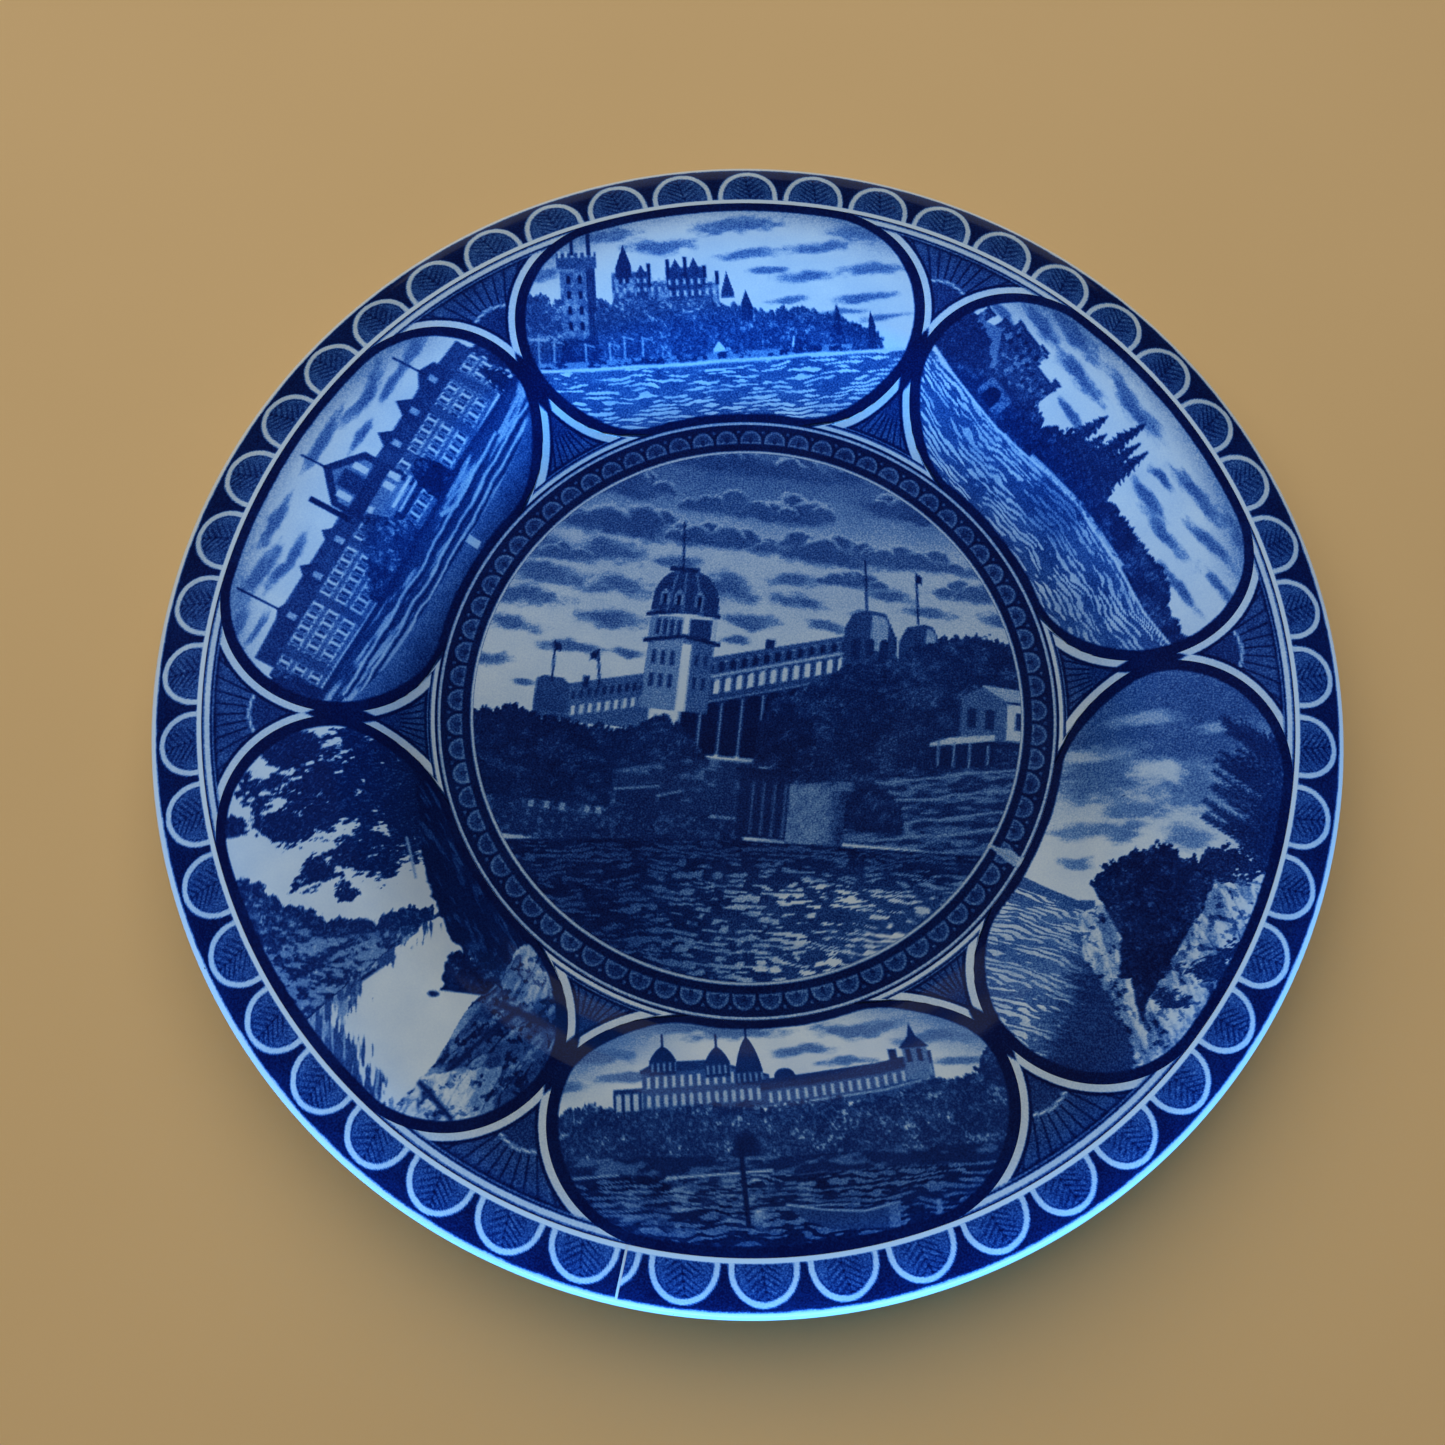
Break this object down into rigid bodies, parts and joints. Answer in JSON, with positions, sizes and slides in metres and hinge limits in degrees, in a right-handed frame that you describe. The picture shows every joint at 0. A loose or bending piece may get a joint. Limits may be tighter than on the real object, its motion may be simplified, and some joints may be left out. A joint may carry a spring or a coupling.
{
  "type": "souvenir plate",
  "caption": "Round rolled-edge display plate with a foot ring, dished well and blue underglaze printed views under a clear glaze.",
  "frame": {"origin": "middle of the foot ring's flat bottom, on the surface that the plate stands on", "axes": "+Z is the plate's axis, up out of its face; +Y is the top of the centre picture"},
  "size_m": [0.254, 0.254, 0.026],
  "materials": {
    "biscuit": "unglazed cream earthenware, matt and slightly rough",
    "centre_picture_print": "cobalt blue underglaze print, softly blurred",
    "medallion_band_print": "dark navy underglaze print with small arches",
    "view_print_1": "cobalt blue underglaze print of a framed view",
    "view_print_2": "cobalt blue underglaze print of a framed view",
    "view_print_3": "cobalt blue underglaze print of a framed view",
    "view_print_4": "cobalt blue underglaze print of a framed view",
    "view_print_5": "cobalt blue underglaze print of a framed view",
    "view_print_6": "cobalt blue underglaze print of a framed view",
    "fan_border_print": "dark cobalt underglaze print with pale-edged fans",
    "scallop_band_print": "navy underglaze print with pale-edged arches",
    "clear_glaze": "glossy clear lead glaze with a faint blue cast"
  },
  "bodies": {
    "root": {"biscuit_body": "biscuit", "centre_picture_print": "centre_picture_print", "medallion_band_print": "medallion_band_print", "view_print_1": "view_print_1", "view_print_2": "view_print_2", "view_print_3": "view_print_3", "view_print_4": "view_print_4", "view_print_5": "view_print_5", "view_print_6": "view_print_6", "fan_border_print": "fan_border_print", "scallop_band_print": "scallop_band_print", "glaze_coat": "clear_glaze", "glaze_recess": "clear_glaze"}
  },
  "joints": []
}
